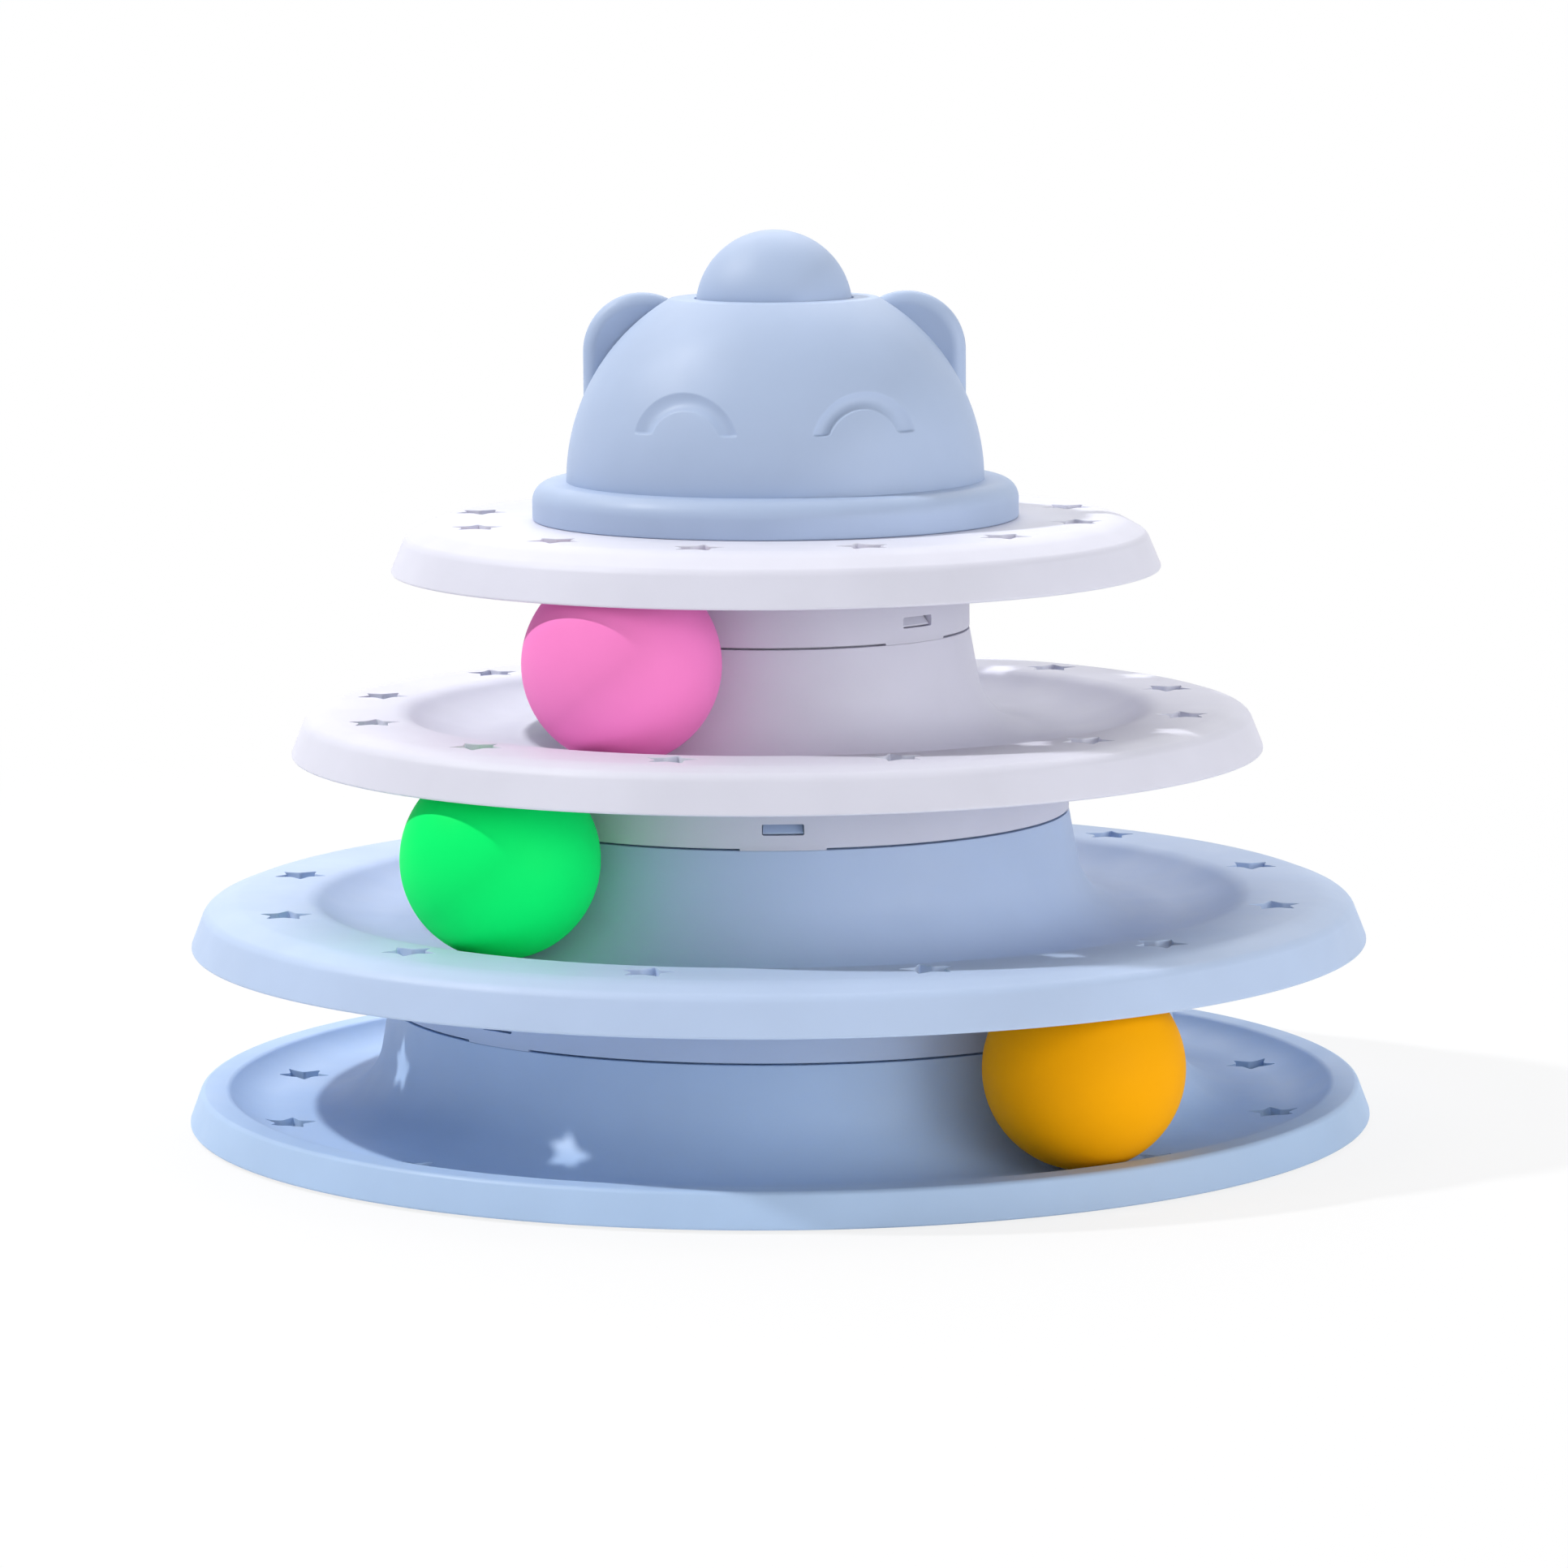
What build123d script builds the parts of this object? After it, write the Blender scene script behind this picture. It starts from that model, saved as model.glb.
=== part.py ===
from build123d import *
from math import acos, cos, degrees, radians, sin, sqrt, tan
import os

# A tower of ball tracks for cats, in millimetres with +Z up.
# The floor is z = 0, the tower's axis is Z and the face on the head looks towards -Y.

# Balls and the room they have in their tracks
ball_diameter = 40.6
ball_wall = 1.6
ball_lip_height = 1.5
ball_lip_wall = 0.8
ball_lip_clearance = 0.05
ball_floor_gap = 0.3
ball_side_gap = 1.7
ball_rim_gap = 0.6
orange_ball_angle = -54.6
green_ball_angle = -132.2
pink_ball_angle = -120.0

# Storeys
wall = 1.8
upper_column_radius = 40.6
middle_column_step = 20.8
base_column_step = 21.1
base_floor_height = 3.6
middle_head_room = 1.0
upper_head_room = 1.0
top_head_room = 2.3
middle_ball_room = 1.3
upper_ball_room = 0.4
column_draft = 10.0
column_foot_radius = 14.0
track_rise_ease = 6.7
track_lip_radius = 8.0

# Rims
base_rim_overhang = 0.2
middle_rim_overhang = -0.7
upper_rim_overhang = -1.3
top_rim_overhang = -1.9
base_crest_height = 7.2
base_rise_radius = 15.3
base_rim_flare = 2.7
base_rim_round = 1.3
middle_shoulder_width = 5.6
middle_shoulder_drop = 2.1
middle_skirt_height = 7.9
upper_shoulder_width = 4.4
upper_shoulder_drop = 1.3
upper_skirt_height = 7.8
top_shoulder_width = 6.2
top_shoulder_drop = 3.4
top_skirt_height = 7.4
shoulder_round = 10.0
skirt_flare = 3.1
skirt_round = 3.0

# Star holes
star_count = 12
star_points = 5
star_radius = 5.6
star_notch_share = 0.52
star_round = 0.5
star_ring_shift = 1.6
star_shelf_margin = 0.3

# Collars, spigots and their catches
middle_collar_drop = 22.6
upper_collar_drop = 21.9
top_collar_drop = 23.4
seam_gap = 0.35
seam_pad_width = 17.6
spigot_clearance = 0.3
spigot_height = 11.0
catch_count = 4
window_width = 8.5
window_height = 2.3
window_rise = 3.1
tongue_width = 8.0
tongue_slot_clearance = 0.8
barb_clearance = 0.25
barb_reach = 1.0
barb_tip = 0.3
quarter_turn = 90.0
tower_turn = 1.0

# Foot pads
pad_count = 4
pad_diameter = 8.6
pad_stand = 0.6
pad_ring_wall = 1.2
pad_ring_height = 1.0
pad_ring_clearance = 0.2

# Top plate and the head's seat on it
plate_hole_margin = 6.0
head_ring_wall = 1.8
head_ring_height = 4.6
hook_count = 4
hook_width = 8.0
hook_thickness = 1.6
hook_clearance = 0.4
hook_floor_gap = 0.8
hook_barb_rise = 1.6
hook_barb_height = 1.6
hook_barb_reach = 0.9
hook_window_margin = 0.3

# Head
flange_width = 7.2
flange_height = 8.0
flange_round = 4.0
dome_radius = 43.8
dome_top_radius = 21.7
dome_top_round = 1.2
head_wall = 2.0
ear_angle = 43.63
ear_sink = 5.4
ear_radius = 12.4
ear_root = 14.0
ear_setback = 3.2
ear_thickness = 5.6
ear_round = 1.6
ear_dish_radius = 9.4
ear_dish_depth = 1.2
eye_spread = 18.2
eye_height = 9.95
eye_radius = 9.05
eye_groove_width = 3.3
eye_groove_depth = 1.0
eye_end_rise = 2.55

# Knob
knob_radius = 16.4
knob_show = 14.1
knob_wall = 1.8
knob_recess_depth = 4.0
knob_recess_gap = 0.5
knob_floor_gap = 0.4
knob_boss_radius = 5.5
knob_stem_radius = 4.0
knob_stem_clearance = 0.08
knob_play = 0.15
washer_radius = 7.5
washer_thickness = 1.2
screw_radius = 1.5
screw_fit = 0.05
screw_length = 9.0
screw_head_radius = 3.0
screw_head_height = 1.8
screw_drive_radius = 1.8
screw_drive_width = 0.8
screw_drive_depth = 0.9

# Cuts run past the faces they open by this much
overrun = 2.0

# Sizes that follow from the ones above
ball_radius = ball_diameter / 2
middle_column_radius = upper_column_radius + middle_column_step
base_column_radius = middle_column_radius + base_column_step
base_track_radius = base_column_radius + ball_radius + ball_side_gap
middle_track_radius = middle_column_radius + ball_radius + ball_side_gap
upper_track_radius = upper_column_radius + ball_radius + ball_side_gap
track_rise_radius = ball_radius + track_rise_ease
ball_storey = ball_floor_gap + ball_diameter + wall


def track_depth(head_room, ball_room, column_step):
    """Depth of a track below its shelf that leaves the ball underneath its room."""
    reach = ball_radius + track_rise_radius + wall + ball_room
    return ball_radius + head_room + wall + track_rise_radius - sqrt(reach ** 2 - column_step ** 2)


base_floor = pad_stand + base_floor_height
middle_shelf = base_floor + ball_storey + middle_head_room
middle_floor = middle_shelf - track_depth(middle_head_room, middle_ball_room, base_column_step)
upper_shelf = middle_floor + ball_storey + upper_head_room
upper_floor = upper_shelf - track_depth(upper_head_room, upper_ball_room, middle_column_step)
top_shelf = upper_floor + ball_storey + top_head_room

base_seam = middle_shelf - middle_collar_drop
middle_seam = upper_shelf - upper_collar_drop
upper_seam = top_shelf - top_collar_drop

base_rim_radius = base_track_radius + ball_radius + base_rim_overhang
middle_rim_radius = base_track_radius + ball_radius + middle_rim_overhang
upper_rim_radius = middle_track_radius + ball_radius + upper_rim_overhang
top_rim_radius = upper_track_radius + ball_radius + top_rim_overhang

base_crest = pad_stand + base_crest_height
crest_rise = base_crest - base_floor
crest_inner_radius = base_track_radius + sqrt(
    (ball_radius + ball_rim_gap) ** 2 - (ball_radius + ball_floor_gap - crest_rise) ** 2
)
base_rise_start = crest_inner_radius - sqrt(2 * base_rise_radius * crest_rise - crest_rise ** 2)

diagonal_catches = quarter_turn / 2 + tower_turn
straight_catches = tower_turn
star_angle = quarter_turn / 6 + tower_turn
draft = radians(column_draft)

flange_radius = dome_radius + flange_width
head_ring_radius = dome_radius + head_ring_wall
hook_inner_radius = head_ring_radius + hook_clearance
dome_centre = top_shelf + flange_height
dome_top = dome_centre + sqrt(dome_radius ** 2 - dome_top_radius ** 2)
ear_spread = (dome_radius - ear_sink) * cos(radians(ear_angle))
ear_height = (dome_radius - ear_sink) * sin(radians(ear_angle))
ear_dish_sphere = (ear_dish_radius ** 2 + ear_dish_depth ** 2) / (2 * ear_dish_depth)
knob_centre = dome_top + knob_show - knob_radius
recess_radius = knob_radius + knob_recess_gap
recess_floor = dome_top - knob_recess_depth
stem_end = recess_floor - head_wall - knob_play

os.makedirs("parts", exist_ok=True)


def save(node, name):
    """Label a finished node and write its STEP file."""
    node.label = name
    export_step(node, f"parts/{name}.step")


def column_foot(column_radius, seam, floor):
    """Where the column's straight wall ends, and the radius where the flat floor begins."""
    foot_height = floor + column_foot_radius * (1 - sin(draft))
    foot_radius = column_radius + (seam - foot_height) * tan(draft)
    return foot_radius, foot_height, foot_radius + column_foot_radius * cos(draft)


def star_corners():
    """Corners of one star, with a point towards the tower's axis."""
    corners = []
    for step in range(2 * star_points):
        reach = star_radius if step % 2 == 0 else star_radius * star_notch_share
        turn = radians(180 + 180 * step / star_points)
        corners.append((reach * cos(turn), reach * sin(turn)))
    return corners


def cut_stars(ring_radius, level):
    """Cut the ring of star holes through the wall below a level of the part being built."""
    with BuildSketch(Plane.XY.offset(level + overrun)) as stars:
        with PolarLocations(ring_radius, star_count, start_angle=star_angle):
            Polygon(*star_corners(), align=None)
        fillet(stars.vertices(), star_round)
    extrude(stars.sketch, amount=-(wall + 2 * overrun), mode=Mode.SUBTRACT)


def add_ring(inner_radius, outer_radius, bottom, height):
    """Add a plain ring about the tower's axis to the part being built."""
    with BuildSketch(Plane.XY.offset(bottom)) as ring:
        Circle(outer_radius)
        Circle(inner_radius, mode=Mode.SUBTRACT)
    extrude(ring.sketch, amount=height)


def add_spigot(column_radius, seam, catch_angle):
    """Add the shoulder and the slotted spigot that the collar above slips over."""
    spigot_outer = column_radius - wall - spigot_clearance
    spigot_inner = spigot_outer - wall
    add_ring(spigot_inner, column_radius, seam - wall, wall)
    add_ring(spigot_inner, spigot_outer, seam, spigot_height)
    with Locations((0, 0, seam)):
        with PolarLocations(spigot_outer - wall / 2, catch_count, start_angle=catch_angle):
            Box(
                wall + 2 * overrun,
                tongue_width + 2 * tongue_slot_clearance,
                spigot_height + overrun,
                align=(Align.CENTER, Align.CENTER, Align.MIN),
                mode=Mode.SUBTRACT,
            )


def add_collar(column_radius, seam, top, catch_angle):
    """Add the collar under a storey, with its catch windows and the shadow gap at its seam."""
    inner_radius = column_radius - wall
    add_ring(inner_radius, column_radius, seam, top - seam)
    with BuildSketch(Plane.XY.offset(seam)) as gap:
        Circle(column_radius + overrun)
        Circle(inner_radius - overrun, mode=Mode.SUBTRACT)
        with PolarLocations(column_radius, catch_count, start_angle=catch_angle):
            Rectangle(wall + 4 * overrun, seam_pad_width, mode=Mode.SUBTRACT)
    extrude(gap.sketch, amount=seam_gap, mode=Mode.SUBTRACT)
    with Locations((0, 0, seam + window_rise)):
        with PolarLocations(column_radius - wall / 2, catch_count, start_angle=catch_angle):
            Box(
                wall + 2 * overrun,
                window_width,
                window_height,
                align=(Align.CENTER, Align.CENTER, Align.MIN),
                mode=Mode.SUBTRACT,
            )


def rim_corners(shelf, rim):
    """Corners of a rim: where the shelf bends down, where the skirt begins, and past its lower edge."""
    rim_radius, shoulder_width, shoulder_drop, skirt_height = rim
    corner_radius = rim_radius - skirt_flare
    corner_height = shelf - shoulder_drop
    run_out = (skirt_height + overrun) / skirt_height
    return (
        (corner_radius - shoulder_width, shelf),
        (corner_radius, corner_height),
        (corner_radius + skirt_flare * run_out, corner_height - skirt_height - overrun),
    )


def trim_skirt(shelf, rim):
    """Trim the skirt level at its lower edge in the section being drawn."""
    rim_radius, shoulder_width, shoulder_drop, skirt_height = rim
    with Locations((rim_radius + wall + overrun, shelf - shoulder_drop - skirt_height)):
        Rectangle(
            skirt_flare + shoulder_width + wall + overrun,
            2 * (wall + overrun),
            align=(Align.MAX, Align.MAX),
            mode=Mode.SUBTRACT,
        )


def build_tray(name, below, above, levels, rim, catches):
    """Build one of the two middle storeys: its track, shelf, rim, collar and column."""
    below_radius, below_seam = below
    column_radius, seam, track_radius = above
    floor, shelf = levels
    collar_catches, spigot_catches = catches
    foot_radius, foot_height, floor_start = column_foot(column_radius, seam, floor)
    lip_reach = track_rise_radius + track_lip_radius
    lip_run = sqrt(lip_reach ** 2 - (lip_reach - shelf + floor) ** 2)
    rise_share = track_rise_radius / lip_reach
    lip_start = (track_radius + lip_run * rise_share, floor + (shelf - floor) * rise_share)
    shelf_start = track_radius + lip_run
    collar_inner = below_radius - wall
    if collar_inner < floor_start:
        tuck = min(floor_start - collar_inner, column_foot_radius * cos(draft))
        collar_top = floor + column_foot_radius - sqrt(column_foot_radius ** 2 - tuck ** 2)
    else:
        collar_top = floor
    with BuildPart() as tray:
        with BuildSketch(Plane.XZ):
            with BuildLine():
                Line((column_radius, seam), (foot_radius, foot_height))
                RadiusArc((foot_radius, foot_height), (floor_start, floor), -column_foot_radius)
                Line((floor_start, floor), (track_radius, floor))
                RadiusArc((track_radius, floor), lip_start, -track_rise_radius)
                RadiusArc(lip_start, (shelf_start, shelf), track_lip_radius)
                FilletPolyline(
                    (shelf_start, shelf),
                    *rim_corners(shelf, rim),
                    radius=[shoulder_round, skirt_round],
                )
                offset(amount=wall, side=Side.RIGHT, kind=Kind.ARC)
            make_face()
            trim_skirt(shelf, rim)
        revolve(axis=Axis.Z)
        cut_stars(shelf_start + star_shelf_margin + star_radius, shelf)
        add_collar(below_radius, below_seam, collar_top - wall / 2, collar_catches)
        add_spigot(column_radius, seam, spigot_catches)
    save(tray.part, name)


def build_tongues(name, column_radius, seam, catch_angle):
    """Build the ring of catches that stand on a shoulder and click into the collar above."""
    outer = column_radius - wall - spigot_clearance
    inner = outer - wall
    barb_bottom = seam + window_rise + barb_clearance
    barb_top = seam + window_rise + window_height - barb_clearance
    sweep = degrees(tongue_width / outer)
    with BuildPart() as tongues:
        for step in range(catch_count):
            turn = catch_angle + 360 / catch_count * step - sweep / 2
            with BuildSketch(Plane.XZ.rotated((0, 0, turn))):
                Polygon(
                    (inner, seam),
                    (outer, seam),
                    (outer, barb_bottom),
                    (outer + spigot_clearance + barb_reach, barb_bottom),
                    (outer + spigot_clearance + barb_reach, barb_bottom + barb_tip),
                    (outer, barb_top),
                    (outer, seam + spigot_height),
                    (inner, seam + spigot_height),
                    align=None,
                )
            revolve(axis=Axis.Z, revolution_arc=sweep)
    save(tongues.part, name)


# Base tray
base_foot_radius, base_foot_height, base_floor_start = column_foot(
    base_column_radius, base_seam, base_floor
)
base_corner_radius = base_rim_radius - base_rim_flare
base_run_out = (base_crest_height + overrun) / base_crest_height
pad_ring_radius = (base_floor_start + base_rise_start) / 2
with BuildPart() as base_tray:
    with BuildSketch(Plane.XZ):
        with BuildLine():
            Line((base_column_radius, base_seam), (base_foot_radius, base_foot_height))
            RadiusArc(
                (base_foot_radius, base_foot_height),
                (base_floor_start, base_floor),
                -column_foot_radius,
            )
            Line((base_floor_start, base_floor), (base_rise_start, base_floor))
            RadiusArc(
                (base_rise_start, base_floor), (crest_inner_radius, base_crest), -base_rise_radius
            )
            FilletPolyline(
                (crest_inner_radius, base_crest),
                (base_corner_radius, base_crest),
                (
                    base_corner_radius + base_rim_flare * base_run_out,
                    base_crest - base_crest_height * base_run_out,
                ),
                radius=base_rim_round,
            )
            offset(amount=wall, side=Side.RIGHT, kind=Kind.ARC)
        make_face()
        with Locations((base_corner_radius - 2 * wall, pad_stand)):
            Rectangle(
                base_rim_flare + 2 * (wall + overrun),
                2 * (wall + overrun),
                align=(Align.MIN, Align.MAX),
                mode=Mode.SUBTRACT,
            )
    revolve(axis=Axis.Z)
    cut_stars(base_track_radius + star_ring_shift, base_floor)
    add_spigot(base_column_radius, base_seam, diagonal_catches)
    with BuildSketch(Plane.XY.offset(base_floor - wall / 2)):
        with PolarLocations(pad_ring_radius, pad_count, start_angle=tower_turn):
            Circle(pad_diameter / 2 + pad_ring_clearance + pad_ring_wall)
            Circle(pad_diameter / 2 + pad_ring_clearance, mode=Mode.SUBTRACT)
    extrude(amount=-(wall / 2 + pad_ring_height))
save(base_tray.part, "base_tray")
build_tongues("base_snap_tongues", base_column_radius, base_seam, diagonal_catches)

# Foot pads
for pad_step in range(pad_count):
    pad_turn = radians(tower_turn + 360 / pad_count * pad_step)
    with BuildPart() as foot_pad:
        with Locations((pad_ring_radius * cos(pad_turn), pad_ring_radius * sin(pad_turn), 0)):
            Cylinder(
                pad_diameter / 2,
                base_floor - wall,
                align=(Align.CENTER, Align.CENTER, Align.MIN),
            )
    save(foot_pad.part, f"foot_pad_{pad_step + 1}")

# Middle and upper trays
build_tray(
    "middle_tray",
    (base_column_radius, base_seam),
    (middle_column_radius, middle_seam, middle_track_radius),
    (middle_floor, middle_shelf),
    (middle_rim_radius, middle_shoulder_width, middle_shoulder_drop, middle_skirt_height),
    (diagonal_catches, straight_catches),
)
build_tongues("middle_snap_tongues", middle_column_radius, middle_seam, straight_catches)
build_tray(
    "upper_tray",
    (middle_column_radius, middle_seam),
    (upper_column_radius, upper_seam, upper_track_radius),
    (upper_floor, upper_shelf),
    (upper_rim_radius, upper_shoulder_width, upper_shoulder_drop, upper_skirt_height),
    (straight_catches, diagonal_catches),
)
build_tongues("upper_snap_tongues", upper_column_radius, upper_seam, diagonal_catches)

# Top plate
plate_hole_radius = upper_column_radius - wall - plate_hole_margin
top_rim = (top_rim_radius, top_shoulder_width, top_shoulder_drop, top_skirt_height)
with BuildPart() as top_plate:
    with BuildSketch(Plane.XZ):
        with BuildLine():
            FilletPolyline(
                (plate_hole_radius, top_shelf),
                *rim_corners(top_shelf, top_rim),
                radius=[shoulder_round, skirt_round],
            )
            offset(amount=wall, side=Side.RIGHT, kind=Kind.ARC)
        make_face()
        trim_skirt(top_shelf, top_rim)
    revolve(axis=Axis.Z)
    cut_stars((flange_radius + top_rim_radius - skirt_flare) / 2, top_shelf)
    add_collar(upper_column_radius, upper_seam, top_shelf - wall / 2, diagonal_catches)
    add_ring(dome_radius, head_ring_radius, top_shelf, head_ring_height)
    with Locations((0, 0, top_shelf + hook_barb_rise - hook_window_margin)):
        with PolarLocations(head_ring_radius - head_ring_wall / 2, hook_count, start_angle=diagonal_catches):
            Box(
                head_ring_wall + 2 * overrun,
                hook_width + 2 * hook_window_margin,
                hook_barb_height + 2 * hook_window_margin,
                align=(Align.CENTER, Align.CENTER, Align.MIN),
                mode=Mode.SUBTRACT,
            )
save(top_plate.part, "top_plate")

# Head, its ears and its eyes
with BuildPart() as ear:
    with BuildSketch(Plane.XZ.offset(-ear_setback)):
        with Locations((ear_spread, dome_centre + ear_height)):
            Circle(ear_radius)
            Rectangle(2 * ear_radius, ear_root, align=(Align.CENTER, Align.MAX))
    extrude(amount=-ear_thickness)
    fillet(ear.faces().sort_by(Axis.Y)[0].edges(), ear_round)
    fillet(ear.faces().sort_by(Axis.Y)[-1].edges(), ear_round)
    with Locations(
        (ear_spread, ear_setback + ear_dish_depth - ear_dish_sphere, dome_centre + ear_height)
    ):
        Sphere(ear_dish_sphere, mode=Mode.SUBTRACT)

with BuildPart() as eye_cutter:
    with BuildSketch(Plane.XZ):
        with Locations((eye_spread, dome_centre + eye_height)):
            Circle(eye_radius + eye_groove_width / 2)
            Circle(eye_radius - eye_groove_width / 2, mode=Mode.SUBTRACT)
            with Locations((0, eye_end_rise)):
                Rectangle(
                    2 * (eye_radius + eye_groove_width),
                    2 * (eye_radius + eye_groove_width),
                    align=(Align.CENTER, Align.MAX),
                    mode=Mode.SUBTRACT,
                )
    extrude(amount=dome_radius + overrun)
    with Locations((0, 0, dome_centre)):
        Sphere(dome_radius - eye_groove_depth, mode=Mode.SUBTRACT)

left_ear = mirror(ear.part, about=Plane.YZ)
left_eye_cutter = mirror(eye_cutter.part, about=Plane.YZ)
cavity_radius = dome_radius - head_wall
cavity_foot_radius = sqrt(cavity_radius ** 2 - head_wall ** 2)
cavity_top_radius = sqrt(cavity_radius ** 2 - (dome_top - head_wall - dome_centre) ** 2)
with BuildPart() as head_shell:
    with BuildSketch(Plane.XZ) as head_section:
        with BuildLine():
            Line((0, top_shelf), (flange_radius, top_shelf))
            FilletPolyline(
                (flange_radius, top_shelf),
                (flange_radius, dome_centre),
                (dome_radius, dome_centre),
                radius=flange_round,
            )
            CenterArc((0, dome_centre), dome_radius, 0, degrees(acos(dome_top_radius / dome_radius)))
            Polyline((dome_top_radius, dome_top), (0, dome_top), (0, top_shelf))
        make_face()
        fillet(
            head_section.vertices().sort_by_distance((dome_top_radius, dome_top, 0))[0],
            dome_top_round,
        )
    revolve(axis=Axis.Z)
    add(ear.part)
    add(left_ear)
    add(eye_cutter.part, mode=Mode.SUBTRACT)
    add(left_eye_cutter, mode=Mode.SUBTRACT)
    with BuildSketch(Plane.XZ):
        with BuildLine():
            Polyline(
                (0, top_shelf),
                (flange_radius - head_wall, top_shelf),
                (flange_radius - head_wall, dome_centre - head_wall),
                (cavity_foot_radius, dome_centre - head_wall),
            )
            ThreePointArc(
                (cavity_foot_radius, dome_centre - head_wall),
                (cavity_radius, dome_centre),
                (cavity_top_radius, dome_top - head_wall),
            )
            Polyline(
                (cavity_top_radius, dome_top - head_wall),
                (recess_radius + head_wall, dome_top - head_wall),
                (recess_radius + head_wall, recess_floor - head_wall),
                (0, recess_floor - head_wall),
                (0, top_shelf),
            )
        make_face()
    revolve(axis=Axis.Z, mode=Mode.SUBTRACT)
    with Locations((0, 0, recess_floor)):
        Cylinder(
            recess_radius,
            knob_recess_depth + overrun,
            align=(Align.CENTER, Align.CENTER, Align.MIN),
            mode=Mode.SUBTRACT,
        )
        Cylinder(
            knob_stem_radius + knob_stem_clearance,
            2 * (head_wall + overrun),
            mode=Mode.SUBTRACT,
        )
save(head_shell.part, "head_shell")

# Hooks that hold the head on the plate
hook_outer_radius = hook_inner_radius + hook_thickness
hook_tip_radius = head_ring_radius - hook_barb_reach
hook_bottom = top_shelf + hook_floor_gap
hook_barb_bottom = top_shelf + hook_barb_rise
hook_barb_top = hook_barb_bottom + hook_barb_height
hook_sweep = degrees(hook_width / head_ring_radius)
with BuildPart() as head_hooks:
    for hook_step in range(hook_count):
        hook_turn = diagonal_catches + 360 / hook_count * hook_step - hook_sweep / 2
        with BuildSketch(Plane.XZ.rotated((0, 0, hook_turn))):
            Polygon(
                (hook_inner_radius, hook_bottom),
                (hook_outer_radius, hook_bottom),
                (hook_outer_radius, dome_centre - head_wall),
                (hook_inner_radius, dome_centre - head_wall),
                (hook_inner_radius, hook_barb_top),
                (hook_tip_radius, hook_barb_top),
                (hook_tip_radius, hook_barb_top - barb_tip),
                (hook_inner_radius, hook_barb_bottom),
                align=None,
            )
        revolve(axis=Axis.Z, revolution_arc=hook_sweep)
save(head_hooks.part, "head_snap_hooks")

# Knob, with the washer and screw that keep it in its recess
knob_foot = recess_floor + knob_floor_gap
with BuildPart() as knob_cap:
    with Locations((0, 0, knob_centre)):
        Sphere(knob_radius)
        Sphere(knob_radius - knob_wall, mode=Mode.SUBTRACT)
    split(bisect_by=Plane.XY.offset(knob_foot), keep=Keep.TOP)
    with Locations((0, 0, recess_floor + knob_play)):
        Cylinder(
            knob_boss_radius,
            knob_centre + knob_radius - knob_wall - recess_floor - knob_play,
            align=(Align.CENTER, Align.CENTER, Align.MIN),
        )
    with Locations((0, 0, stem_end)):
        Cylinder(
            knob_stem_radius,
            recess_floor + 2 * knob_play - stem_end,
            align=(Align.CENTER, Align.CENTER, Align.MIN),
        )
        Cylinder(
            screw_radius + screw_fit,
            screw_length,
            align=(Align.CENTER, Align.CENTER, Align.MIN),
            mode=Mode.SUBTRACT,
        )
save(knob_cap.part, "knob_cap")

with BuildPart() as knob_washer:
    add_ring(screw_radius + screw_fit, washer_radius, stem_end - washer_thickness, washer_thickness)
save(knob_washer.part, "knob_washer")

screw_seat = stem_end - washer_thickness
with BuildPart() as knob_screw:
    with Locations((0, 0, screw_seat)):
        Cylinder(screw_radius, screw_length, align=(Align.CENTER, Align.CENTER, Align.MIN))
        Cylinder(screw_head_radius, screw_head_height, align=(Align.CENTER, Align.CENTER, Align.MAX))
    with Locations((0, 0, screw_seat - screw_head_height)):
        for drive_turn in (0, quarter_turn):
            Box(
                2 * screw_drive_radius,
                screw_drive_width,
                2 * screw_drive_depth,
                rotation=(0, 0, drive_turn),
                mode=Mode.SUBTRACT,
            )
save(knob_screw.part, "knob_screw")

# Balls, each of two welded half shells
ball_inner_radius = ball_radius - ball_wall
ball_lip_radius = sqrt(ball_inner_radius ** 2 - ball_lip_height ** 2) - ball_lip_clearance
ball_places = {
    "orange": (base_track_radius, orange_ball_angle, base_floor),
    "green": (middle_track_radius, green_ball_angle, middle_floor),
    "pink": (upper_track_radius, pink_ball_angle, upper_floor),
}
for ball_name, (ball_track, ball_angle, ball_floor) in ball_places.items():
    ball_turn = radians(ball_angle)
    ball_centre = (
        ball_track * cos(ball_turn),
        ball_track * sin(ball_turn),
        ball_floor + ball_floor_gap + ball_radius,
    )
    with BuildPart(Plane(origin=ball_centre, x_dir=(1, 0, 0), z_dir=(0, -1, 0))) as front_half:
        Sphere(ball_radius, arc_size1=0, align=None)
        Sphere(ball_inner_radius, arc_size1=0, align=None, mode=Mode.SUBTRACT)
    save(front_half.part, f"{ball_name}_ball_front_half")
    rear_plane = Plane(origin=ball_centre, x_dir=(1, 0, 0), z_dir=(0, 1, 0))
    with BuildPart(rear_plane) as rear_half:
        Sphere(ball_radius, arc_size1=0, align=None)
        Sphere(ball_inner_radius, arc_size1=0, align=None, mode=Mode.SUBTRACT)
        with BuildSketch(rear_plane.offset(-ball_lip_height)):
            Circle(ball_lip_radius)
            Circle(ball_lip_radius - ball_lip_wall, mode=Mode.SUBTRACT)
        extrude(amount=3 * ball_lip_height)
    save(rear_half.part, f"{ball_name}_ball_rear_half")
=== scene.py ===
"""Looks of the cat ball track tower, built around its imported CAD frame."""

from math import acos, asin, atan2, cos, pi, radians, sin, sqrt, tan, tau

import bmesh
import bpy
from bpy.props import FloatProperty, FloatVectorProperty, IntProperty, PointerProperty
from bpy.types import Operator, Panel, PropertyGroup
from mathutils import Matrix, Vector


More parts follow.
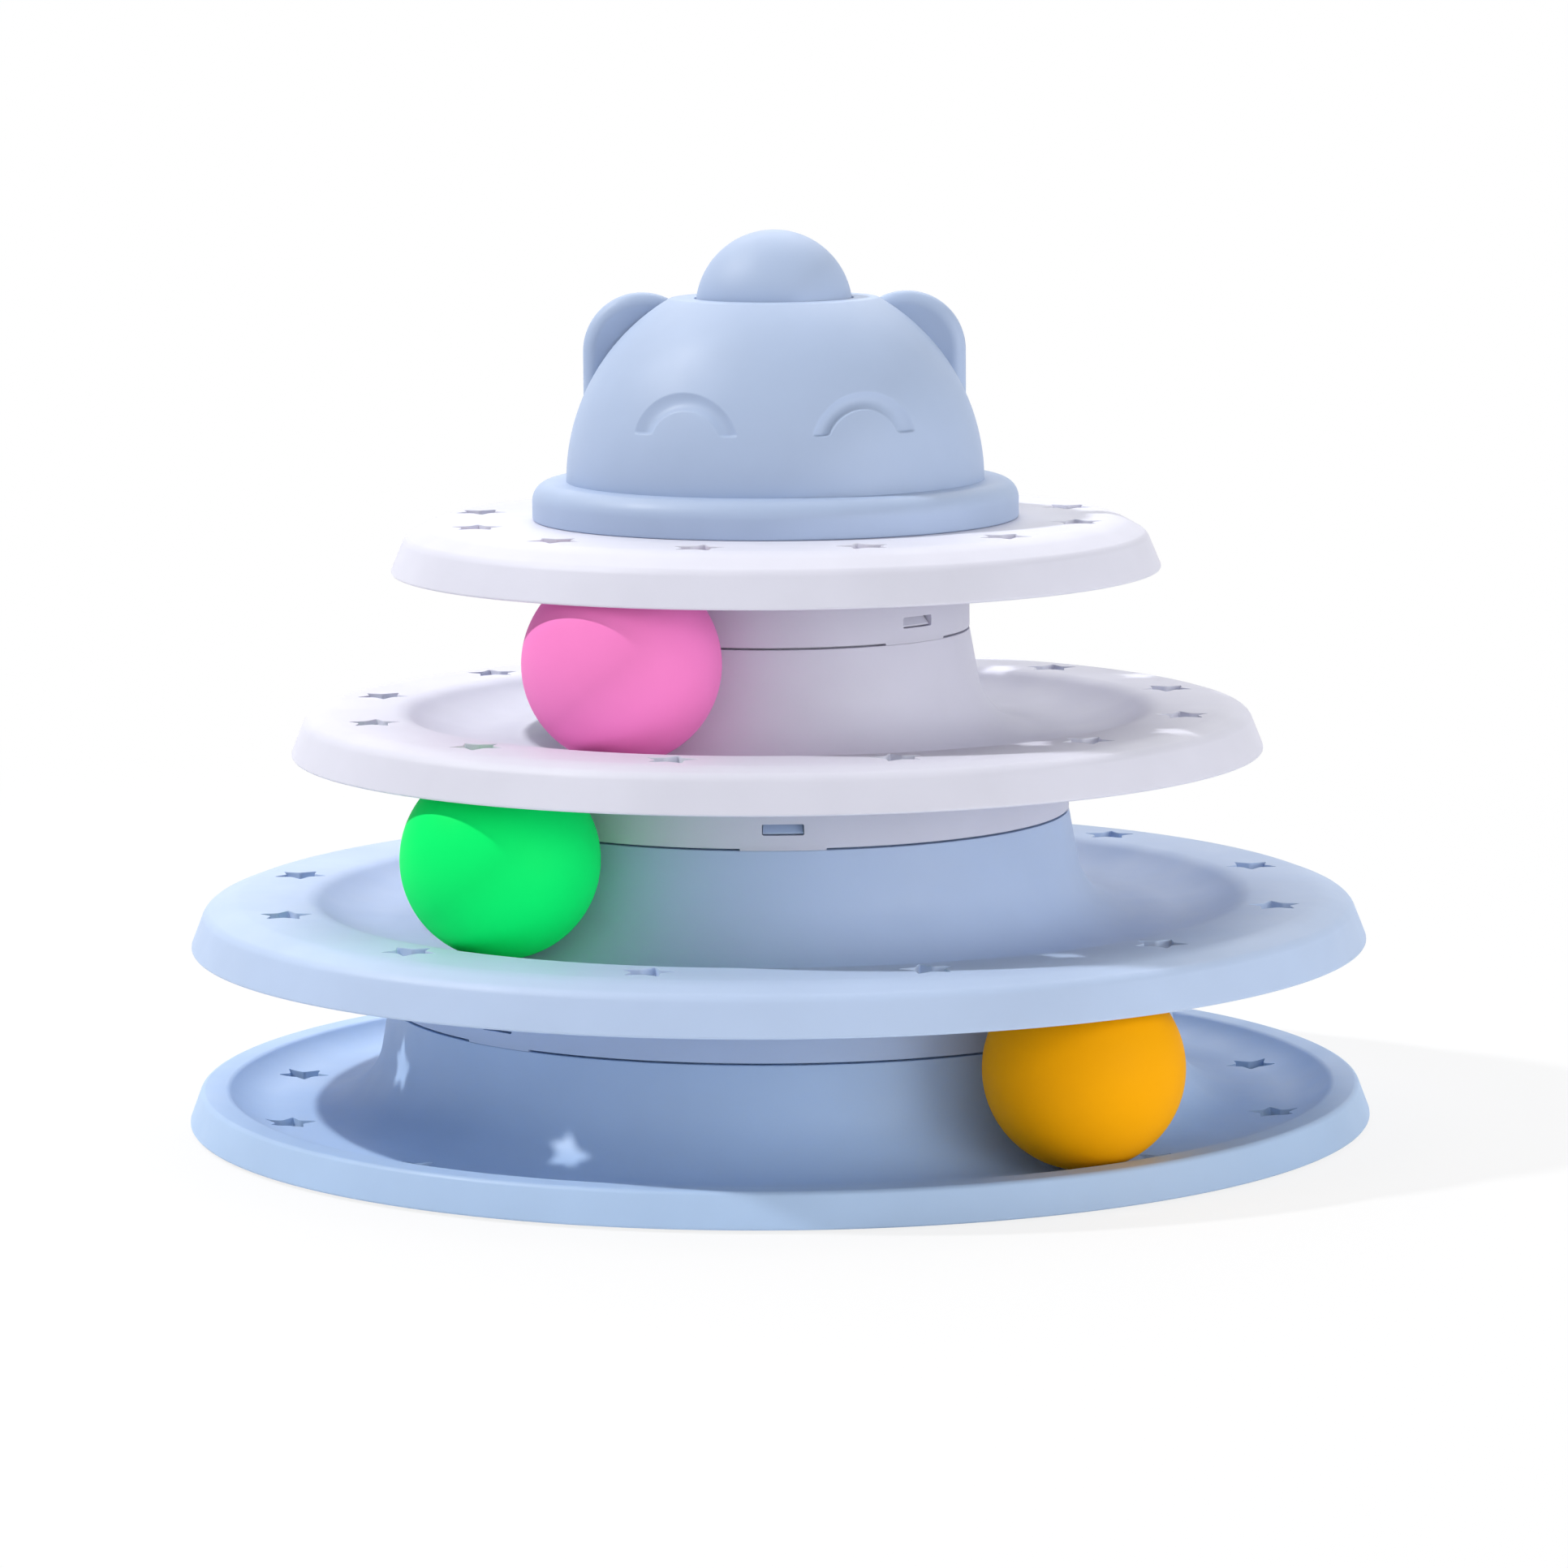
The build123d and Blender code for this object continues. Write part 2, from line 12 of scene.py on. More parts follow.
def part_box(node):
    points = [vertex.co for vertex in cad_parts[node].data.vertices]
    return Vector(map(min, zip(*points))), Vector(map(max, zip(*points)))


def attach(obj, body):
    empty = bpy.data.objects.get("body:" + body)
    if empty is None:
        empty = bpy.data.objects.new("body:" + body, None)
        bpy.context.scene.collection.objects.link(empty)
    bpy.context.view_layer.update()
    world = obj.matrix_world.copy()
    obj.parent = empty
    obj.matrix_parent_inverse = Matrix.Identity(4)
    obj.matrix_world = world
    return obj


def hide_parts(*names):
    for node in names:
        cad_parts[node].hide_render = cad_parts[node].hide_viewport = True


bl_info = {
    "name": "Cat ball track tower",
    "version": (1, 0, 0),
    "blender": (4, 5, 0),
    "location": "3D View > Sidebar > Track Tower",
    "description": "Moulded storeys, head, knob, balls and studio for a ball track tower",
    "category": "Add Mesh",
}

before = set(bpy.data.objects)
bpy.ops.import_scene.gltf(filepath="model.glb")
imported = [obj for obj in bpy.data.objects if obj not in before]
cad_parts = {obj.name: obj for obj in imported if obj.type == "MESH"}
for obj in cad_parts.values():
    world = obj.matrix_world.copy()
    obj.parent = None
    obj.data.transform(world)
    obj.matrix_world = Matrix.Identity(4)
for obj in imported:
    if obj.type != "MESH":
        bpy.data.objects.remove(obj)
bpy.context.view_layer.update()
MM = 0.001

# Counts, angles and gaps that several pieces share
STAR_COUNT = 12
STAR_START = radians(16)
STAR_NOTCH = 0.52
CATCH_COUNT = 4
DIAGONAL = radians(46)
STRAIGHT = radians(1)
FIT_GAP = 0.3 * MM
BALL_SIDE_GAP = 1.7 * MM
BALL_FLOOR_GAP = 0.3 * MM

# Shape of the head's dome, which also places the knob
DOME_RADIUS = 43.8 * MM
DOME_LIFT = 8 * MM
DOME_FLAT = 21.7 * MM
RECESS_DEPTH = 4 * MM

# Rings of an ear's dished front, each its width and how far it sinks, in millimetres
EAR_DISH = ((0.5, 0.05), (0.8, 0.15), (1.2, 0.17), (1.6, 0.13), (2.2, 0.08), (2.4, 0.03))

# Heights and radii that the CAD boxes give, in metres
pad_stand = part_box("base_tray")[0].z
base_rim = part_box("base_tray")[1].x
middle_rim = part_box("middle_tray")[1].x
upper_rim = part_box("upper_tray")[1].x
top_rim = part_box("top_plate")[1].x
base_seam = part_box("middle_tray")[0].z
middle_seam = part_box("upper_tray")[0].z
upper_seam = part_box("top_plate")[0].z
top_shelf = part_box("head_shell")[0].z
flange_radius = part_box("head_shell")[1].x
spigot_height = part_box("base_tray")[1].z - base_seam
head_ring_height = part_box("top_plate")[1].z - top_shelf
stem_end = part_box("knob_cap")[0].z
knob_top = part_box("knob_cap")[1].z


class TowerSizes(PropertyGroup):
    """Sizes of the moulded pieces."""

    wall: FloatProperty(
        name="Wall", description="Thickness of the moulded walls", default=1.8 * MM, unit="LENGTH"
    )
    draft: FloatProperty(
        name="Draft", description="Lean of the column walls", default=radians(10), subtype="ANGLE"
    )
    column_foot: FloatProperty(
        name="Column foot", description="Radius where a column meets its floor",
        default=14 * MM, unit="LENGTH",
    )
    base_column: FloatProperty(
        name="Base column", description="Radius of the base column at its seam",
        default=82.5 * MM, unit="LENGTH",
    )
    middle_column: FloatProperty(
        name="Middle column", description="Radius of the middle column at its seam",
        default=61.4 * MM, unit="LENGTH",
    )
    upper_column: FloatProperty(
        name="Upper column", description="Radius of the upper column at its seam",
        default=40.6 * MM, unit="LENGTH",
    )
    track_lip: FloatProperty(
        name="Track lip", description="Radius where a track meets its shelf",
        default=8 * MM, unit="LENGTH",
    )
    skirt_flare: FloatProperty(
        name="Skirt flare", description="How far a rim's skirt leans out",
        default=3.1 * MM, unit="LENGTH",
    )
    shoulder_round: FloatProperty(
        name="Shoulder round", description="Radius where a shelf bends down",
        default=10 * MM, unit="LENGTH",
    )
    skirt_round: FloatProperty(
        name="Skirt round", description="Radius where a skirt begins", default=3 * MM, unit="LENGTH"
    )
    seam_gap: FloatProperty(
        name="Seam gap", description="Shadow gap under a collar", default=0.35 * MM, unit="LENGTH"
    )
    star_radius: FloatProperty(
        name="Star radius", description="Centre of a star hole to its points",
        default=5.6 * MM, unit="LENGTH",
    )
    star_lip: FloatProperty(
        name="Star lip", description="Rounding of the star holes' upper edges",
        default=0.3 * MM, unit="LENGTH",
    )
    edge_round: FloatProperty(
        name="Edge round", description="Rounding of the moulded free edges",
        default=0.5 * MM, unit="LENGTH",
    )
    eye_depth: FloatProperty(
        name="Eye depth", description="Depth of the closed eyes", default=0.95 * MM, unit="LENGTH"
    )
    eye_soften: FloatProperty(
        name="Eye softness", description="Width over which the eyes' edges fall",
        default=0.7 * MM, unit="LENGTH",
    )
    turn_steps: IntProperty(
        name="Turning steps", description="Segments round a storey", default=288, min=96, max=480
    )


class TowerColours(PropertyGroup):
    """Colours of the plastics, in linear light."""

    base_blue: FloatVectorProperty(
        name="Base blue", description="Lowest storey", subtype="COLOR", default=(0.452, 0.61, 0.852)
    )
    middle_blue: FloatVectorProperty(
        name="Middle blue", description="Second storey", subtype="COLOR", default=(0.49, 0.61, 0.828)
    )
    head_blue: FloatVectorProperty(
        name="Head blue", description="Head and knob", subtype="COLOR", default=(0.408, 0.505, 0.695)
    )
    white: FloatVectorProperty(
        name="White", description="Upper storey and top plate", subtype="COLOR",
        default=(0.715, 0.716, 0.818),
    )
    orange: FloatVectorProperty(
        name="Orange", description="Ball of the lowest track", subtype="COLOR",
        default=(1.0, 0.43, 0.002),
    )
    green: FloatVectorProperty(
        name="Green", description="Ball of the second track", subtype="COLOR", default=(0.004, 1.0, 0.18)
    )
    pink: FloatVectorProperty(
        name="Pink", description="Ball of the third track", subtype="COLOR", default=(1.0, 0.25, 0.62)
    )
    pad_grey: FloatVectorProperty(
        name="Pad grey", description="Soft foot pads", subtype="COLOR", default=(0.52, 0.53, 0.56)
    )


class StudioSettings(PropertyGroup):
    """Light and camera of the studio."""

    key_power: FloatProperty(
        name="Key", description="Power of the key lamp in watts", default=172.0, min=0
    )
    key_size: FloatProperty(
        name="Key size", description="Radius of the key lamp", default=0.055, unit="LENGTH"
    )
    key_place: FloatVectorProperty(
        name="Key place", description="Where the key lamp hangs", subtype="TRANSLATION",
        default=(-1.6, 0.05, 2.0),
    )
    front_strength: FloatProperty(
        name="Front", description="Soft light from the front", default=0.38, min=0
    )
    side_strength: FloatProperty(
        name="Side", description="Soft light from the front right", default=0.76, min=0
    )
    fill_strength: FloatProperty(
        name="Fill", description="Low light from the front right", default=1.0, min=0
    )
    low_strength: FloatProperty(name="Low", description="Low light from the right", default=0.44, min=0)
    top_strength: FloatProperty(
        name="Top", description="Soft light from above the back", default=1.65, min=0
    )
    sky_strength: FloatProperty(
        name="Sky", description="Strength of the light all round", default=0.06, min=0
    )
    floor_paleness: FloatProperty(
        name="Floor paleness", description="Share of plain white in the floor as seen",
        default=0.84, min=0, max=1,
    )
    focal_length: FloatProperty(name="Lens", description="Focal length in millimetres", default=147.2)
    camera_place: FloatVectorProperty(
        name="Camera", description="Camera position", subtype="TRANSLATION",
        default=(0.001326, -1.3403, 0.25684),
    )
    camera_aim: FloatVectorProperty(
        name="Aim", description="Way the camera looks", subtype="DIRECTION",
        default=(0.0, 0.99047, -0.13772),
    )
    camera_right: FloatVectorProperty(
        name="Level", description="Camera's right hand, which gives its roll", subtype="DIRECTION",
        default=(0.99997, -0.00104, -0.00746),
    )


def new_nodes(name):
    """Start a material and return it with its node tree and its shader."""
    material = bpy.data.materials.new(name)
    material.use_nodes = True
    tree = material.node_tree
    shader = tree.nodes["Principled BSDF"]
    return material, tree, shader


def noise(tree, coords, scale, detail, roughness):
    """Add a noise texture on the given coordinates."""
    node = tree.nodes.new("ShaderNodeTexNoise")
    node.inputs["Scale"].default_value = scale
    node.inputs["Detail"].default_value = detail
    node.inputs["Roughness"].default_value = roughness
    tree.links.new(coords, node.inputs["Vector"])
    return node.outputs["Fac"]


def ramp(tree, value, low, high, start, end):
    """Map a value between two limits to another span."""
    node = tree.nodes.new("ShaderNodeMapRange")
    node.inputs["From Min"].default_value = low
    node.inputs["From Max"].default_value = high
    node.inputs["To Min"].default_value = start
    node.inputs["To Max"].default_value = end
    tree.links.new(value, node.inputs["Value"])
    return node.outputs["Result"]


def tint(tree, factor, first, second):
    """Mix two colours by a factor."""
    node = tree.nodes.new("ShaderNodeMix")
    node.data_type = "RGBA"
    node.inputs["A"].default_value = (*first, 1)
    node.inputs["B"].default_value = (*second, 1)
    tree.links.new(factor, node.inputs["Factor"])
    return node.outputs["Result"]


def roughen(tree, shader, height, strength, distance):
    """Give a shader a fine relief from a texture."""
    bump = tree.nodes.new("ShaderNodeBump")
    bump.inputs["Strength"].default_value = strength
    bump.inputs["Distance"].default_value = distance
    tree.links.new(height, bump.inputs["Height"])
    tree.links.new(bump.outputs["Normal"], shader.inputs["Normal"])


def moulded_plastic(name, colour, roughness, sheen, glow, grain):
    """Matte moulded plastic: faint flow clouds, a fine spark-eroded grain and handling polish."""
    material, tree, shader = new_nodes(name)
    coords = tree.nodes.new("ShaderNodeTexCoord").outputs["Object"]
    clouds = noise(tree, coords, scale=28, detail=3, roughness=0.55)
    fine = noise(tree, coords, scale=2600, detail=2, roughness=0.6)
    polish = noise(tree, coords, scale=90, detail=4, roughness=0.6)
    darker = [part * 0.955 for part in colour]
    lighter = [min(part * 1.03, 1) for part in colour]
    shade = tint(tree, ramp(tree, clouds, 0.3, 0.7, 0, 1), darker, lighter)
    tree.links.new(shade, shader.inputs["Base Color"])
    wear = 0.06
    gloss = ramp(tree, polish, 0.3, 0.72, roughness - wear, roughness + wear)
    tree.links.new(gloss, shader.inputs["Roughness"])
    shader.inputs["Specular IOR Level"].default_value = sheen
    shader.inputs["IOR"].default_value = 1.49
    shader.inputs["Subsurface Weight"].default_value = glow
    shader.inputs["Subsurface Radius"].default_value = (1.0, 0.95, 0.95)
    shader.inputs["Subsurface Scale"].default_value = 2.2 * MM
    roughen(tree, shader, fine, grain, 0.06 * MM)
    return material


def pad_rubber(name, colour):
    """Soft grey rubber with dust in its pores."""
    material, tree, shader = new_nodes(name)
    coords = tree.nodes.new("ShaderNodeTexCoord").outputs["Object"]
    dust = noise(tree, coords, scale=700, detail=4, roughness=0.65)
    dark = [part * 0.8 for part in colour]
    shade = tint(tree, ramp(tree, dust, 0.4, 0.7, 0, 1), dark, colour)
    tree.links.new(shade, shader.inputs["Base Color"])
    tree.links.new(ramp(tree, dust, 0.3, 0.7, 0.72, 0.88), shader.inputs["Roughness"])
    roughen(tree, shader, dust, 0.3, 0.05 * MM)
    return material


def plated_steel(name):
    """Zinc plated steel with a fine turned grain."""
    material, tree, shader = new_nodes(name)
    coords = tree.nodes.new("ShaderNodeTexCoord").outputs["Object"]
    stretch = tree.nodes.new("ShaderNodeMapping")
    stretch.inputs["Scale"].default_value = (1, 1, 9)
    tree.links.new(coords, stretch.inputs["Vector"])
    grain = noise(tree, stretch.outputs["Vector"], scale=900, detail=5, roughness=0.7)
    shade = tint(tree, ramp(tree, grain, 0.35, 0.65, 0, 1), (0.46, 0.47, 0.49), (0.66, 0.67, 0.69))
    tree.links.new(shade, shader.inputs["Base Color"])
    tree.links.new(ramp(tree, grain, 0.3, 0.7, 0.26, 0.42), shader.inputs["Roughness"])
    shader.inputs["Metallic"].default_value = 1
    roughen(tree, shader, grain, 0.15, 0.03 * MM)
    return material


def finish_of(slot):
    """Return the finish for one of the record's material slots, made once."""
    name = f"{slot}_finish"
    if name in bpy.data.materials:
        return bpy.data.materials[name]
    colours = bpy.context.scene.tower_colours
    if slot == "pad_rubber":
        return pad_rubber(name, colours.pad_grey)
    if slot == "steel":
        return plated_steel(name)
    # Colour, roughness, sheen, glow and grain of each plastic
    plastics = {
        "deep_blue": (colours.base_blue, 0.52, 0.42, 0.1, 0.18),
        "pale_blue": (colours.middle_blue, 0.52, 0.42, 0.1, 0.18),
        "head_blue": (colours.head_blue, 0.53, 0.46, 0.1, 0.16),
        "white": (colours.white, 0.52, 0.4, 0.12, 0.16),
        "ball_orange": (colours.orange, 0.56, 0.05, 0, 0.22),
        "ball_green": (colours.green, 0.56, 0.05, 0, 0.22),
        "ball_pink": (colours.pink, 0.56, 0.06, 0, 0.22),
    }
    return moulded_plastic(name, *plastics[slot])


def arc(centre, angle, steps, rounding=0):
    """A stretch of outline that turns about a centre, counted from +Z towards +X."""
    return {"centre": centre, "angle": angle, "steps": steps, "rounding": rounding}


def soften(bm, geom, offset, segments, affect):
    """Round off corners or edges."""
    bmesh.ops.bevel(
        bm,
        geom=geom,
        offset=offset,
        offset_type="OFFSET",
        segments=segments,
        profile=0.5,
        affect=affect,
        material=-1,
    )


def trace(stretches, closed=True):
    """Draw an outline in the XZ plane from (radius, height, rounding) corners and arcs."""
    facet = 0.6 * MM
    bm = bmesh.new()
    rounded = []
    first = None
    last = None
    for stretch in stretches:
        if isinstance(stretch, dict):
            turned = bmesh.ops.spin(
                bm,
                geom=[last],
                cent=(stretch["centre"][0], 0, stretch["centre"][1]),
                axis=(0, 1, 0),
                angle=stretch["angle"],
                steps=stretch["steps"],
            )
            last = [item for item in turned["geom_last"] if isinstance(item, bmesh.types.BMVert)][0]
            if stretch["rounding"]:
                rounded.append((last, stretch["rounding"]))
            continue
        radius, height, rounding = stretch
        corner = bm.verts.new((radius, 0, height))
        if last:
            bm.edges.new((last, corner))
        first = first or corner
        last = corner
        if rounding:
            rounded.append((corner, rounding))
    if closed:
        bm.edges.new((last, first))
    for corner, rounding in rounded:
        ways = [edge.other_vert(corner).co - corner.co for edge in corner.link_edges]
        turn = pi - ways[0].angle(ways[1])
        segments = max(2, min(16, round(turn * rounding / facet) + 1))
        soften(bm, [corner], rounding * tan(turn / 2), segments, "VERTICES")
    return bm


def turn_round(bm, steps):
    """Turn an outline about the tower's axis into a closed skin."""
    bmesh.ops.spin(
        bm,
        geom=bm.verts[:] + bm.edges[:],
        cent=(0, 0, 0),
        axis=(0, 0, 1),
        angle=tau,
        steps=steps,
        use_merge=True,
    )
    bmesh.ops.remove_doubles(bm, verts=bm.verts[:], dist=0.001 * MM)
    bmesh.ops.recalc_face_normals(bm, faces=bm.faces[:])


def repeat_round(bm, count, start):
    """Turn what is in bm to a start angle and repeat it evenly round the tower's axis."""
    bmesh.ops.rotate(bm, verts=bm.verts[:], cent=(0, 0, 0), matrix=Matrix.Rotation(start, 3, "Z"))
    bmesh.ops.spin(
        bm,
        geom=bm.verts[:] + bm.edges[:] + bm.faces[:],
        cent=(0, 0, 0),
        axis=(0, 0, 1),
        angle=tau * (count - 1) / count,
        steps=count - 1,
        use_duplicate=True,
    )


def mark_creases(bm, angle=radians(38)):
    """Shade smoothly, with the true corners kept crisp."""
    for face in bm.faces:
        face.smooth = True
    for edge in bm.edges:
        edge.smooth = len(edge.link_faces) == 2 and edge.calc_face_angle(0) < angle


def make_piece(name, bm, slot, body, nodes):
    """Turn a finished bmesh into a piece that stands for CAD nodes and rides on their body."""
    mark_creases(bm)
    mesh = bpy.data.meshes.new(name)
    bm.to_mesh(mesh)
    bm.free()
    mesh.materials.append(finish_of(slot))
    piece = bpy.data.objects.new(name, mesh)
    bpy.context.scene.collection.objects.link(piece)
    smooth = piece.modifiers.new("even_shading", "WEIGHTED_NORMAL")
    smooth.keep_sharp = True
    smooth.weight = 60
    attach(piece, body)
    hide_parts(*nodes)
    return piece


def join_into(bm, extra):
    """Move the skin of one bmesh into another."""
    mesh = bpy.data.meshes.new("scratch")
    extra.to_mesh(mesh)
    extra.free()
    bm.from_mesh(mesh)
    bpy.data.meshes.remove(mesh)


def punch(bm, cutters):
    """Cut closed shapes out of a closed skin, and return the cut skin."""
    scratch = []
    for shape in [bm, *cutters]:
        mesh = bpy.data.meshes.new("scratch")
        shape.to_mesh(mesh)
        shape.free()
        item = bpy.data.objects.new("scratch", mesh)
        bpy.context.scene.collection.objects.link(item)
        scratch.append(item)
    for cutter in scratch[1:]:
        cut = scratch[0].modifiers.new("cut", "BOOLEAN")
        cut.operation = "DIFFERENCE"
        cut.solver = "EXACT"
        cut.object = cutter
    result = bmesh.new()
    result.from_object(scratch[0], bpy.context.evaluated_depsgraph_get())
    for item in scratch:
        mesh = item.data
        bpy.data.objects.remove(item)
        bpy.data.meshes.remove(mesh)
    return result


def star_punch(ring_radius, level, depth, lip):
    """Twelve star-shaped punches, which leave a soft upper edge on the holes where lip is not 0."""
    sizes = bpy.context.scene.tower_sizes
    tip_round = 0.6 * MM
    proud = 0.06 * MM
    bm = bmesh.new()
    reach = sizes.star_radius + tip_round / 2
    made = bmesh.ops.create_circle(bm, cap_ends=True, segments=10, radius=reach + lip)
    notches = made["verts"][1::2]
    bmesh.ops.scale(bm, vec=(STAR_NOTCH, STAR_NOTCH, 1), verts=notches)
    soften(bm, bm.verts[:], tip_round, 3, "VERTICES")
    bmesh.ops.recalc_face_normals(bm, faces=bm.faces[:])
    bmesh.ops.translate(bm, verts=bm.verts[:], vec=(0, 0, proud))
    sheet = bm.faces[:]
    softening = [(0.5 * lip, 0.2 * lip), (0.3 * lip, 0.3 * lip), (0.2 * lip, 0.5 * lip)] if lip else []
    for narrower, drop in (*softening, (0, depth)):
        sheet = bmesh.ops.extrude_discrete_faces(bm, faces=sheet)["faces"]
        share = 1 - narrower / reach
        bmesh.ops.scale(bm, vec=(share, share, 1), verts=sheet[0].verts[:])
        bmesh.ops.translate(bm, verts=sheet[0].verts[:], vec=(0, 0, -drop))
    bmesh.ops.holes_fill(bm, edges=[edge for edge in bm.edges if edge.is_boundary])
    bmesh.ops.recalc_face_normals(bm, faces=bm.faces[:])
    bmesh.ops.rotate(bm, verts=bm.verts[:], cent=(0, 0, 0), matrix=Matrix.Rotation(pi / 2, 3, "Z"))
    bmesh.ops.translate(bm, verts=bm.verts[:], vec=(ring_radius, 0, level))
    repeat_round(bm, STAR_COUNT, STAR_START)
    return bm


def block_punch(radius, bottom, size, start, rounding):
    """Four blocks round the tower that cut the catch windows or the spigot's slots."""
    bm = bmesh.new()
    bmesh.ops.create_cube(bm, size=1)
    bmesh.ops.scale(bm, vec=size, verts=bm.verts[:])
    bmesh.ops.translate(bm, verts=bm.verts[:], vec=(radius, 0, bottom + size[2] / 2))
    if rounding:
        through = [edge for edge in bm.edges if abs(edge.verts[0].co.x - edge.verts[1].co.x) > 0.1 * MM]
        soften(bm, through, rounding, 3, "EDGES")
    repeat_round(bm, CATCH_COUNT, start)
    return bm


def window_punch(column, seam, start):
    """Catch windows of one collar."""
    lift = 3.1 * MM
    size = (8 * MM, 8.5 * MM, 2.3 * MM)
    return block_punch(column, seam + lift, size, start, 0.35 * MM)


def slot_punch(column, seam, start):
    """Slots of one spigot, in which the catches stand."""
    wall = bpy.context.scene.tower_sizes.wall
    room = 4 * MM
    size = (wall + room, 9.6 * MM, spigot_height + room)
    return block_punch(column - 1.5 * wall - FIT_GAP, seam, size, start, 0)


def add_seam_pads(bm, column, seam, start):
    """The four feet of a collar that stand on the shoulder below and break the shadow gap."""
    sizes = bpy.context.scene.tower_sizes
    foot = bmesh.new()
    length = 17.6 * MM
    sunk = 0.02 * MM
    overlap = 0.4 * MM
    sweep = length / column
    inner = column - sizes.wall + sunk
    outer = column - sunk
    top = seam + sizes.seam_gap + overlap
    section = ((inner, seam), (outer, seam), (outer, top), (inner, top))
    foot.faces.new([foot.verts.new((radius, 0, height)) for radius, height in section])
    bmesh.ops.spin(
        foot,
        geom=foot.verts[:] + foot.edges[:] + foot.faces[:],
        cent=(0, 0, 0),
        axis=(0, 0, 1),
        angle=sweep,
        steps=12,
    )
    bmesh.ops.recalc_face_normals(foot, faces=foot.faces[:])
    repeat_round(foot, CATCH_COUNT, start - sweep / 2)
    join_into(bm, foot)


def column_outline(column, seam, floor):
    """Outline of a column from its inside foot, over the spigot, to its outside foot."""
    sizes = bpy.context.scene.tower_sizes
    wall = sizes.wall
    soft = sizes.edge_round
    spigot = column - wall - FIT_GAP
    lean = tan(sizes.draft)
    foot_height = floor + sizes.column_foot * (1 - sin(sizes.draft))
    foot_radius = column + (seam - foot_height) * lean
    centre = (foot_radius + sizes.column_foot * cos(sizes.draft), floor + sizes.column_foot)
    sweep = pi / 2 - sizes.draft
    inside = column - wall / cos(sizes.draft) + wall * lean
    return [
        (centre[0], floor - wall, 0),
        arc(centre, sweep, 20),
        (inside, seam - wall, 0),
        (spigot - wall, seam - wall, soft),
        (spigot - wall, seam + spigot_height, soft),
        (spigot, seam + spigot_height, soft),
        (spigot, seam, 0),
        (column, seam, 0.6 * soft),
        (foot_radius, foot_height, 0),
        arc(centre, -sweep, 20),
    ]


def inner_corner(before, corner, after, wall):
    """Corner of a wall's inner face beside a corner of its outer face."""
    corner = Vector(corner)
    first = (corner - Vector(before)).normalized()
    second = (Vector(after) - corner).normalized()
    sides = Vector((first.y, -first.x)) + Vector((second.y, -second.x))
    return corner + sides * wall / (1 + first.dot(second))


def skirt_outline(shelf, rim, shape):
    """Outline of a rim: its shoulder, its skirt, round the lower edge and back up inside."""
    sizes = bpy.context.scene.tower_sizes
    wall = sizes.wall
    soft = sizes.edge_round
    flare = sizes.skirt_flare
    width, drop, height = shape
    bend = (rim - flare - width, shelf)
    corner = (rim - flare, shelf - drop)
    edge = (rim, shelf - drop - height)
    across = wall * sqrt(flare ** 2 + height ** 2) / height
    inner_bend = inner_corner((0, shelf), bend, corner, wall)
    inner_turn = inner_corner(bend, corner, edge, wall)
    return [
        (*bend, sizes.shoulder_round),
        (*corner, sizes.skirt_round),
        (*edge, soft),
        (rim - across, edge[1], soft),
        (*inner_turn, sizes.skirt_round - wall),
        (*inner_bend, sizes.shoulder_round - wall),
    ]


def collar_outline(column, seam, top):
    """Outline of a collar from its outer top, round its lower edge, to its inner top."""
    sizes = bpy.context.scene.tower_sizes
    soft = 0.5 * sizes.edge_round
    crook = 0.6 * MM
    foot = seam + sizes.seam_gap
    return [
        (column, top, crook),
        (column, foot, soft),
        (column - sizes.wall, foot, soft),
        (column - sizes.wall, top, crook),
    ]


def climb_run(radius, lip, climb):
    """Distance over which a track climbs from its floor to its shelf."""
    reach = radius + lip
    return sqrt(reach ** 2 - (reach - climb) ** 2)


def climb_outline(start, floor, radius, lip, climb):
    """Hollow and lip that climb from a track's floor to its shelf, and the same back underneath."""
    wall = bpy.context.scene.tower_sizes.wall
    end = start + climb_run(radius, lip, climb)
    shelf = floor + climb
    hollow = (start, floor + radius)
    crown = (end, shelf - lip)
    sweep = acos((radius + lip - climb) / (radius + lip))
    return (
        [(start, floor, 0), arc(hollow, -sweep, 16), arc(crown, sweep, 10)],
        [(end, shelf - wall, 0), arc(crown, -sweep, 10), arc(hollow, sweep, 16)],
    )


def tray(below, above, floor, shelf, rim, shape, starts):
    """Mould one of the two middle storeys."""
    sizes = bpy.context.scene.tower_sizes
    wall = sizes.wall
    below_column, below_seam = below
    column, seam = above
    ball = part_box("green_ball_front_half")[1].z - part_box("green_ball_front_half")[0].z
    hollow_gap = 6.7 * MM
    star_margin = 0.3 * MM
    track = column + ball / 2 + BALL_SIDE_GAP
    rise = ball / 2 + hollow_gap
    depth = shelf - floor
    climb, descent = climb_outline(track, floor, rise, sizes.track_lip, depth)
    outline = [
        *column_outline(column, seam, floor),
        *climb,
        *skirt_outline(shelf, rim, shape),
        *descent,
        *collar_outline(below_column, below_seam, floor - wall),
    ]
    bm = trace(outline)
    turn_round(bm, sizes.turn_steps)
    ring = track + climb_run(rise, sizes.track_lip, depth) + star_margin + sizes.star_radius
    bm = punch(
        bm,
        [
            star_punch(ring, shelf, 4 * wall, sizes.star_lip),
            window_punch(below_column, below_seam, starts[0]),
            slot_punch(column, seam, starts[1]),
        ],
    )
    add_seam_pads(bm, below_column, below_seam, starts[0])
    return bm


